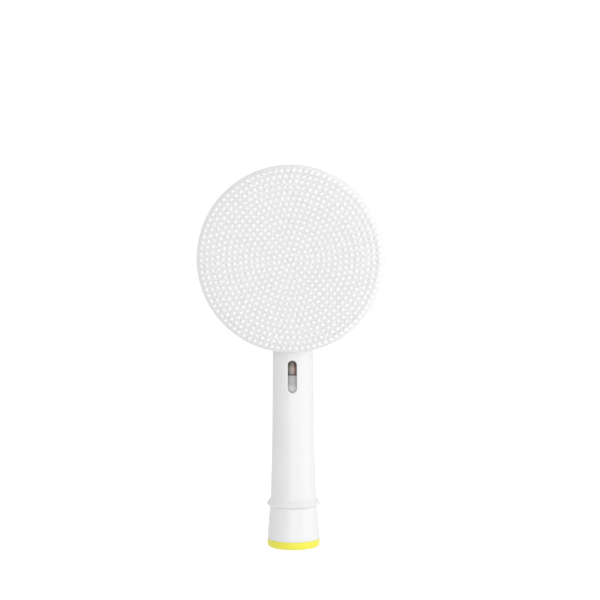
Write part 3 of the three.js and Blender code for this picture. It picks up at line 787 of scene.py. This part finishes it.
def cup_rings():
    """The rings over the shoulder and the gear cup: level cuts first, then a fan from the axle."""
    rings = []
    fan_start = AXLE_Z - CUP_RADIUS + FAN_START
    for z in straight_steps(SHOULDER_START, fan_start, MARGIN_ROW)[1:]:
        level = []
        for i in range(COLUMNS):
            angle = column_angle(i)
            way = Vector((math.cos(angle), math.sin(angle), 0))
            level.append(tuple(cast(Vector((0, 0, z)), way)))
        rings.append(level)
    centre = Vector((0, 0, AXLE_Z))
    tilts = []
    for point in rings[-1]:
        way = Vector(point) - centre
        tilts.append(math.atan2(math.hypot(way.x, way.y), -way.z))
    for row in range(1, CUP_ROWS):
        share = row / CUP_ROWS
        fan = []
        for i in range(COLUMNS):
            angle = column_angle(i)
            tilt = tilts[i] + (math.pi - tilts[i]) * share
            flat = math.sin(tilt)
            way = Vector((flat * math.cos(angle), flat * math.sin(angle), -math.cos(tilt)))
            fan.append(tuple(cast(centre, way)))
        rings.append(fan)
    rings.append([tuple(cast(centre, Vector((0, 0, 1))))])
    return rings


def across_patch(column):
    """How far a column is from the window's middle, laid flat."""
    return PATCH_RADIUS * 2 * math.pi * column / COLUMNS


def patch_steps(row_count):
    """The edge of the patch as (column, row), once around."""
    reach = PATCH_COLUMNS
    top = row_count - 1
    edge = [(column, 0) for column in range(-reach, reach)]
    edge += [(reach, row) for row in range(0, top)]
    edge += [(column, top) for column in range(reach, -reach, -1)]
    edge += [(-reach, row) for row in range(top, 0, -1)]
    return edge


def patch_edge(rows, starts):
    """The numbers of the patch's edge points, from the rings in its rows."""
    return [starts[rows[row]] + column % COLUMNS for column, row in patch_steps(len(rows))]


def window_matches(edge):
    """For each (across, z) on the patch's edge, the matching place of the slot's outline.

    It is a height on the slot's middle line, and the way from there.
    """
    half_patch = across_patch(PATCH_COLUMNS)
    matches = [None] * len(edge)
    top = []
    bottom = []
    for i, (across, z) in enumerate(edge):
        at_side = abs(abs(across) - half_patch) < TINY
        if at_side and STRAIGHT_BOTTOM - TINY <= z <= STRAIGHT_TOP + TINY:
            matches[i] = (z, (math.copysign(1, across), 0))
        elif z > STRAIGHT_TOP:
            top.append(i)
        else:
            bottom.append(i)
    for members, middle, sign in ((top, STRAIGHT_TOP, 1), (bottom, STRAIGHT_BOTTOM, -1)):
        members.sort(key=lambda i: math.atan2(sign * (edge[i][1] - middle), edge[i][0]))
        for order, i in enumerate(members):
            angle = math.pi * (order + 1) / (len(members) + 1)
            matches[i] = (middle, (math.cos(angle), sign * math.sin(angle)))
    return matches


def window_levels():
    """Loops from the patch's edge, over the slot's rounded mouth, to the bore.

    Each is (share, offset, on_bore, rise): its share of the way to the slot's outline, how much
    wider that outline is, and its rise over the bore or over the neck's outside.
    """
    levels = [(0.33, WINDOW_ROUND, False, 0), (0.66, WINDOW_ROUND, False, 0)]
    for step in range(6):
        angle = math.radians(90 * step / 5)
        offset = WINDOW_ROUND * (1 - math.sin(angle))
        levels.append((1, offset, False, -WINDOW_ROUND * (1 - math.cos(angle))))
    levels.append((1, 0, True, WINDOW_CHAMFER))
    levels += [(share, WINDOW_CHAMFER, True, 0) for share in (1, 0.66, 0.33)]
    return levels


def window_loops(points, heights):
    """Adds the slot's points, and gives their numbers as loops from the outside to the bore."""
    edge = [(across_patch(column), heights[row]) for column, row in patch_steps(len(heights))]
    matches = window_matches(edge)
    loops = []
    for share, offset, on_bore, rise in window_levels():
        radius = WINDOW_HALF + offset
        loop = []
        for place, (middle, way) in zip(edge, matches):
            target = Vector((way[0] * radius, middle + way[1] * radius))
            spot = Vector(place).lerp(target, share)
            reach = rise + (BORE_RADIUS if on_bore else neck_radius(spot.y))
            side = PATCH_RADIUS * math.sin(spot.x / PATCH_RADIUS)
            angle = FRONT + math.asin(max(-1, min(1, side / reach)))
            loop.append(len(points))
            points.append(on_z(reach, spot.y, angle))
        loops.append(loop)
    return loops


def level_rings(rings, numbers, heights):
    """Which of the numbered rings lies level at each height."""
    return [
        next(k for k in numbers if all(abs(point[2] - z) < TINY for point in rings[k]))
        for z in heights
    ]


def neck_mesh():
    """Points and faces of the neck: its rings, with the window let into a patch of columns."""
    rings, inner_count = neck_rings()
    rings += cup_rings()
    points, starts = laid_out(rings)
    heights = window_rows()
    inner_rows = level_rings(rings, range(inner_count), heights)
    outer_rows = level_rings(rings, range(inner_count, len(rings)), heights)
    open_rows = set()
    for rows in (inner_rows, outer_rows):
        open_rows |= {min(pair) for pair in zip(rows, rows[1:])}
    patch = set(range(PATCH_COLUMNS)) | {COLUMNS - i for i in range(1, PATCH_COLUMNS + 1)}
    faces = []
    for k in range(len(rings) - 1):
        band = strip(rings[k], starts[k], rings[k + 1], starts[k + 1])
        faces += [face for i, face in enumerate(band) if k not in open_rows or i not in patch]
    loops = [patch_edge(outer_rows, starts)]
    loops += window_loops(points, heights)
    loops.append(patch_edge(inner_rows, starts))
    for first, second in zip(loops, loops[1:]):
        for i in range(len(first)):
            j = (i + 1) % len(first)
            faces.append((first[i], first[j], second[j], second[i]))
    return points, faces


def gear_room():
    """What is cut from the cup: the rotor's room round the axle's boss, and all before the rim."""
    far_front = CUP_FRONT + 5
    far_side = CUP_RADIUS + 3
    edge = 0.15
    profile = [
        (0, far_front),
        (far_side, far_front),
        (far_side, CUP_FRONT),
        (CUP_INNER_RADIUS + edge, CUP_FRONT),
        (CUP_INNER_RADIUS, CUP_FRONT - edge),
        (CUP_INNER_RADIUS, CUP_FLOOR + CUP_CHAMFER),
        (CUP_INNER_RADIUS - CUP_CHAMFER, CUP_FLOOR),
        (AXLE_BOSS_RADIUS, CUP_FLOOR),
        (AXLE_BOSS_RADIUS, AXLE_BOSS_FACE),
        (AXLE_HOLE_RADIUS, AXLE_BOSS_FACE),
        (AXLE_HOLE_RADIUS, AXLE_BACK),
        (0, AXLE_BACK),
    ]
    return turned("gear_room", profile, on_axle)


def make_neck():
    neck = finish_mesh("neck_moulding", *neck_mesh())
    combine(neck, gear_room(), "DIFFERENCE", sharp=45)
    dress(neck, WHITE_PLASTIC, "neck", "neck_shell")


def make_ring():
    outer = ring_high.x
    profile = rounded([
        (MOUTH_RADIUS, 0, 0.3),
        (outer, 0, RING_CORNER),
        (outer, RING_TOP, 0.1),
        (COLLAR_RADIUS, RING_TOP, 0),
        (COLLAR_RADIUS, ring_high.z, 0.12),
        (MOUTH_RADIUS, ring_high.z, 0.12),
    ], steps=9)
    ring = turned("yellow_ring", profile, on_z)
    dress(ring, RING_PLASTIC, "neck", "color_ring")


# ================================================================ the socket and the drive


def make_insert():
    inner = 3.7
    keyway_half = 0.8
    keyway_depth = 0.6
    flange = insert_high.x
    profile = rounded([
        (inner, insert_low.z, 0.25),
        (flange, insert_low.z, 0.15),
        (flange, LEDGE_Z, 0.05),
        (INSERT_RADIUS, LEDGE_Z, 0.05),
        (INSERT_RADIUS, insert_high.z, 0.15),
        (inner, insert_high.z, 0.15),
    ], steps=3)
    insert = turned("socket_sleeve", profile, on_z)
    low = (-keyway_half, -inner - keyway_depth, insert_low.z - CUT_OVER)
    high = (keyway_half, 0, insert_high.z + CUT_OVER)
    combine(insert, box_piece("keyway", low, high), "DIFFERENCE")
    dress(insert, INNER_PLASTIC, "neck", "socket_insert")


def drive_bore_outline():
    """Round with a flat to the back, as the handle's shaft is."""
    radius = 1.75
    flat = 1.15
    edge = math.degrees(math.acos(flat / radius))
    return arc((0, 0), (radius, radius), 90 + edge, 450 - edge, 48)


def make_coupling():
    radius = COUPLING_RADIUS
    journal = 3.4
    clip_room = 0.75
    clip_height = 2
    clip_length = 4.9
    bore_depth = 13
    slit_half = 0.35
    rod_gap = 0.15
    slit_reach = 6
    shoulder = NECK_STEP_Z + FIT_GAP
    groove = radius - clip_room
    groove_bottom = shoulder + clip_height
    groove_top = groove_bottom + clip_length
    profile = rounded([
        (0, coupling_low.z, 0),
        (journal, coupling_low.z, 0.2),
        (journal, shoulder, 0.05),
        (radius, shoulder, 0.1),
        (radius, groove_bottom, 0.05),
        (groove, groove_bottom, 0.05),
        (groove, groove_top, 0.05),
        (radius, groove_top, 0.05),
        (radius, COUPLING_TOP, 0.2),
        (0, COUPLING_TOP, 0),
    ], closed=False, steps=4)
    coupling = turned("drive_sleeve", profile, on_z, INNER_SIDES)
    bottom = coupling_low.z - CUT_OVER
    top = coupling_low.z + bore_depth
    bore = outline_piece("drive_bore", drive_bore_outline(), level_outline, bottom, top)
    combine(coupling, bore, "DIFFERENCE")
    rod_room = rod_profile(ROD_RADIUS + rod_gap, rod_low.z, COUPLING_TOP + CUT_OVER)
    combine(coupling, turned("rod_bore", rod_room, on_z, SMALL_SIDES), "DIFFERENCE")
    slit = box_piece("slit", (-slit_half, 0, bottom), (slit_half, slit_reach, top))
    combine(coupling, slit, "DIFFERENCE")
    dress(coupling, SLEEVE_PLASTIC, "drive_link", "drive_coupling")


def make_rod():
    profile = rounded([
        (0, rod_low.z, 0),
        (ROD_RADIUS, rod_low.z, 0.2),
        (ROD_RADIUS, rod_high.z, 0.2),
        (0, rod_high.z, 0),
    ], closed=False, steps=3)
    rod = turned("drawn_rod", profile, on_z, SMALL_SIDES)
    dress(rod, STEEL_WITH_PAINTED_LIGHT, "drive_link", "drive_rod")


# ================================================================ the head


def make_rotor():
    bore = 2.05
    boss = 3.3
    recess = 3.6
    recess_depth = 1.7
    rotor_face = 0.9
    slot_half = 1.3
    slot_growth = 0.8
    slot_top = 5.15
    slot_front = 4.9
    flange_back = SHELL_BACK + SHELL_WALL
    flange = rotor_high.x
    profile = rounded([
        (bore, ROTOR_BACK_END, 0.1),
        (boss, ROTOR_BACK_END, 0.2),
        (boss, rotor_face, 0.2),
        (ROTOR_RADIUS, rotor_face, 0.4),
        (ROTOR_RADIUS, flange_back, 0.1),
        (flange, flange_back, 0.1),
        (flange, PLATE_BACK, 0.2),
        (recess, PLATE_BACK, 0.1),
        (recess, PLATE_BACK - recess_depth, 0.1),
        (bore, PLATE_BACK - recess_depth, 0.1),
    ], steps=3)
    rotor = turned("swing_rotor", profile, on_axle, INNER_SIDES)
    mouth = slot_half + slot_growth
    rim = ROTOR_RADIUS + FIT_GAP
    outline = [
        (slot_half, -boss),
        (-slot_half, -boss),
        (-slot_half, -slot_top),
        (-mouth, -rim),
        (mouth, -rim),
        (slot_half, -slot_top),
    ]
    slot_back = rotor_face - CUT_OVER
    slot = outline_piece("fork_slot", outline, facing_outline, slot_back, slot_front)
    combine(rotor, slot, "DIFFERENCE")
    dress(rotor, INNER_PLASTIC, "cleansing_head", "rotor_hub")


def make_shell():
    hole = ROTOR_RADIUS + FIT_GAP
    reach = SHELL_RADIUS - SHELL_FLAT
    depth = SHELL_RIM - SHELL_BACK
    centre = (SHELL_FLAT, SHELL_RIM)
    outer = arc(centre, (reach, -depth), 90, 0, 28)
    inner = arc(centre, (reach - SHELL_RIM_WALL, -(depth - SHELL_WALL)), 0, 90, 20)
    lip = rounded([
        outer[-2],
        (*outer[-1], 0.25),
        (*inner[0], 0.25),
        inner[1],
    ], closed=False, steps=4)[1:-1]
    hole_edge = rounded([
        inner[-1],
        (hole, SHELL_BACK + SHELL_WALL, 0.2),
        (hole, SHELL_BACK, 0.35),
        outer[0],
    ], closed=False, steps=4)[1:-1]
    profile = outer[:-1] + lip + inner[1:] + hole_edge
    shell = turned("rear_dish", profile, on_axle, WIDE_SIDES)
    boss_back = SHELL_BACK + SCREW_BOSS_START
    pilot_back = PLATE_BACK - PILOT_DEPTH
    pilot_front = PLATE_BACK + CUT_OVER
    for turn in range(SCREW_COUNT):
        angle = math.radians(90 + 360 * turn / SCREW_COUNT)
        at_screw = on_line(SCREW_CIRCLE * math.cos(angle), SCREW_CIRCLE * math.sin(angle))
        boss = rod_profile(SCREW_BOSS_RADIUS, boss_back, PLATE_BACK)
        combine(shell, turned("boss", boss, at_screw, BOSS_SIDES), "UNION")
        pilot = rod_profile(PILOT_RADIUS, pilot_back, pilot_front)
        combine(shell, turned("pilot", pilot, at_screw, PILOT_SIDES), "DIFFERENCE")
    dress(shell, WHITE_PLASTIC, "cleansing_head", "back_shell")


def nub_places():
    """The middle nub and the rings, as (radius, angle). Each ring starts on the same ray."""
    places = [(0.0, 0.0)]
    counts = [6 * ring for ring in range(1, FULL_RINGS + 1)] + list(OUTER_RING_COUNTS)
    for ring, count in enumerate(counts, start=1):
        radius = min(ring * NUB_PITCH, PAD_FACE_RADIUS - NUB_MARGIN)
        for i in range(count):
            places.append((radius, NUB_START + 2 * math.pi * i / count))
    return places


def nub_profile():
    """A tapered nub with a round tip and a foot that spreads into the face, as (radius, height)."""
    foot_steps = 4
    profile = [(0, -NUB_ROOT), (NUB_RADIUS + ROOT_SPREAD, -NUB_ROOT)]
    for i in range(foot_steps + 1):
        angle = math.radians(90 * i / foot_steps)
        radius = NUB_RADIUS + NUB_FOOT * (1 - math.sin(angle))
        profile.append((radius, NUB_FOOT * (1 - math.cos(angle))))
    profile += arc((0, NUB_LENGTH - NUB_DOME), (NUB_RADIUS * NUB_TAPER, NUB_DOME), 0, 90, 6)[:-1]
    return profile + [(0, NUB_LENGTH)]


def pad_profile():
    """The pad without its nubs: the crowned face, the round rim and the stepped back."""
    lip_back = SHELL_RIM + FIT_GAP
    step = SHELL_RADIUS - PAD_STEP_IN
    radii = [PAD_FACE_RADIUS * i / CROWN_STEPS for i in range(CROWN_STEPS)]
    crown = [(radius, pad_face(radius)) for radius in radii]
    start = math.radians(RIM_START)
    rim_reach = (PAD_RADIUS - PAD_FACE_RADIUS) / (1 - math.cos(start))
    rim_half = (pad_face(PAD_FACE_RADIUS) - lip_back) / (1 + math.sin(start))
    centre = (PAD_RADIUS - rim_reach, lip_back + rim_half)
    rim = arc(centre, (rim_reach, rim_half), RIM_START, -90, 20)
    return crown + rim + [(step, lip_back), (step, PAD_BACK), (0, PAD_BACK)]


def make_pad():
    pad = turned("nub_pad", pad_profile(), on_axle, WIDE_SIDES)
    points = []
    faces = []
    for radius, angle in nub_places():
        place = on_line(radius * math.cos(angle), radius * math.sin(angle))
        base = pad_face(radius)
        profile = [(across, base + height) for across, height in nub_profile()]
        nub_points, nub_faces = turned_parts(profile, place, NUB_SIDES)
        first = len(points)
        points.extend(nub_points)
        faces.extend(tuple(first + corner for corner in face) for face in nub_faces)
    nubs = finish_mesh("nub_field", points, faces)
    combine(pad, nubs, "UNION", sharp=60)
    dress(pad, SILICONE, "cleansing_head", "silicone_pad")


# ================================================================ the pieces that keep their shape


def repaint_inner_pieces():
    for node in ("axle_pin", "axle_clip", "thrust_washer", "shaft_clip", "crank_pin"):
        repaint(node, STEEL)
    for turn in range(SCREW_COUNT):
        repaint(f"carrier_screw_{turn + 1}", STEEL)
    for node in ("lower_guide_bush", "upper_guide_bush", "hub_bush"):
        repaint(node, BEARING_PLASTIC)
    repaint("crank_arm", GREY_PLASTIC)
    repaint("carrier_plate", INNER_PLASTIC)


# ================================================================ floor, light and camera

FLOOR_Z = -60
FLOOR_REACH = 9000
FLOOR_SHADE = 0.85
FLOOR_LIFT = 0.5  # the light it gives where it is seen or mirrored
AMBIENT = 0.66
SIDE_LAMP_POWER = 4.95
SIDE_LAMP_SIZE = 1200
SIDE_LAMP_TURN = 75
FRONT_LAMP_POWER = 2.8
FRONT_LAMP_SIZE = 600
LAMP_DISTANCE = 900


def aim(thing, place, target):
    """Puts a lamp or the camera in its place and turns it to a target."""
    thing.location = Vector(place) * MM
    way = (Vector(target) - Vector(place)).normalized()
    thing.rotation_euler = way.to_track_quat("-Z", "Y").to_euler()


def seen_or_mirrored(nodes, links):
    """One for the rays that show the backdrop: the camera's, mirrored and refracted ones."""
    path = nodes.new("ShaderNodeLightPath")
    mirrored = nodes.new("ShaderNodeMath")
    mirrored.operation = "MAXIMUM"
    seen = nodes.new("ShaderNodeMath")
    seen.operation = "MAXIMUM"
    links.new(path.outputs["Is Glossy Ray"], mirrored.inputs[0])
    links.new(path.outputs["Is Transmission Ray"], mirrored.inputs[1])
    links.new(path.outputs["Is Camera Ray"], seen.inputs[0])
    links.new(mirrored.outputs["Value"], seen.inputs[1])
    return seen.outputs["Value"]


def white_world():
    """Soft even light, with a white backdrop where it is seen or mirrored."""
    world = bpy.data.worlds.new("studio")
    bpy.context.scene.world = world
    world.use_nodes = True
    nodes = world.node_tree.nodes
    links = world.node_tree.links
    soft = nodes["Background"]
    white = nodes.new("ShaderNodeBackground")
    fill(soft, {"Color": (1, 1, 1, 1), "Strength": AMBIENT})
    fill(white, {"Color": (1, 1, 1, 1), "Strength": 1})
    either = nodes.new("ShaderNodeMixShader")
    links.new(seen_or_mirrored(nodes, links), either.inputs["Fac"])
    links.new(soft.outputs["Background"], either.inputs[1])
    links.new(white.outputs["Background"], either.inputs[2])
    links.new(either.outputs["Shader"], nodes["World Output"].inputs["Surface"])


def floor_material():
    """A pale floor that keeps shadows, lifted to white where it is seen or mirrored."""
    material = bpy.data.materials.new("pale_floor")
    material.use_nodes = True
    nodes = material.node_tree.nodes
    links = material.node_tree.links
    nodes.clear()
    lift = nodes.new("ShaderNodeEmission")
    matt = nodes.new("ShaderNodeBsdfDiffuse")
    fill(lift, {"Color": (FLOOR_LIFT, FLOOR_LIFT, FLOOR_LIFT, 1)})
    fill(matt, {"Color": (FLOOR_SHADE, FLOOR_SHADE, FLOOR_SHADE, 1)})
    both = nodes.new("ShaderNodeAddShader")
    output = nodes.new("ShaderNodeOutputMaterial")
    links.new(seen_or_mirrored(nodes, links), lift.inputs["Strength"])
    links.new(matt.outputs["BSDF"], both.inputs[0])
    links.new(lift.outputs["Emission"], both.inputs[1])
    links.new(both.outputs["Shader"], output.inputs["Surface"])
    return material


def make_floor():
    sides = ((-1, -1), (1, -1), (1, 1), (-1, 1))
    corners = [(x * FLOOR_REACH, y * FLOOR_REACH, FLOOR_Z) for x, y in sides]
    floor = finish_mesh("floor", corners, [(0, 1, 2, 3)])
    floor.data.materials.append(floor_material())


def make_lamp(name, power, size, turn):
    """A broad round lamp level with the axle, turned to the right from straight in front."""
    data = bpy.data.lights.new(name, "AREA")
    data.shape = "DISK"
    data.size = size * MM
    data.energy = power
    lamp = bpy.data.objects.new(name, data)
    bpy.context.scene.collection.objects.link(lamp)
    angle = math.radians(turn)
    target = Vector((0, 0, AXLE_Z))
    aim(lamp, target + Vector((math.sin(angle), -math.cos(angle), 0)) * LAMP_DISTANCE, target)


def make_camera():
    """The photograph's view: 600 mm away, a little from the right and above, and a trace tilted."""
    distance = 600
    turn = math.radians(2.25)
    roll = math.radians(-0.2)
    height = 122.15
    target = (2.02, 0, 68.81)
    focal_pixels = 2179
    frame_pixels = 600
    sensor = 36
    data = bpy.data.cameras.new("camera")
    data.sensor_fit = "HORIZONTAL"
    data.sensor_width = sensor
    data.lens = sensor * focal_pixels / frame_pixels
    data.clip_start = 0.01
    data.clip_end = 50
    camera = bpy.data.objects.new("camera", data)
    bpy.context.scene.collection.objects.link(camera)
    place = (distance * math.sin(turn), -distance * math.cos(turn), height)
    aim(camera, place, target)
    camera.rotation_euler.rotate_axis("Z", roll)
    bpy.context.scene.camera = camera


# ================================================================ the scene

make_camera()
make_neck()
make_ring()
make_insert()
make_coupling()
make_rod()
make_rotor()
make_shell()
make_pad()
repaint_inner_pieces()
white_world()
make_floor()
make_lamp("side_lamp", SIDE_LAMP_POWER, SIDE_LAMP_SIZE, SIDE_LAMP_TURN)
make_lamp("front_lamp", FRONT_LAMP_POWER, FRONT_LAMP_SIZE, 0)

bpy.context.scene.view_settings.view_transform = "Standard"
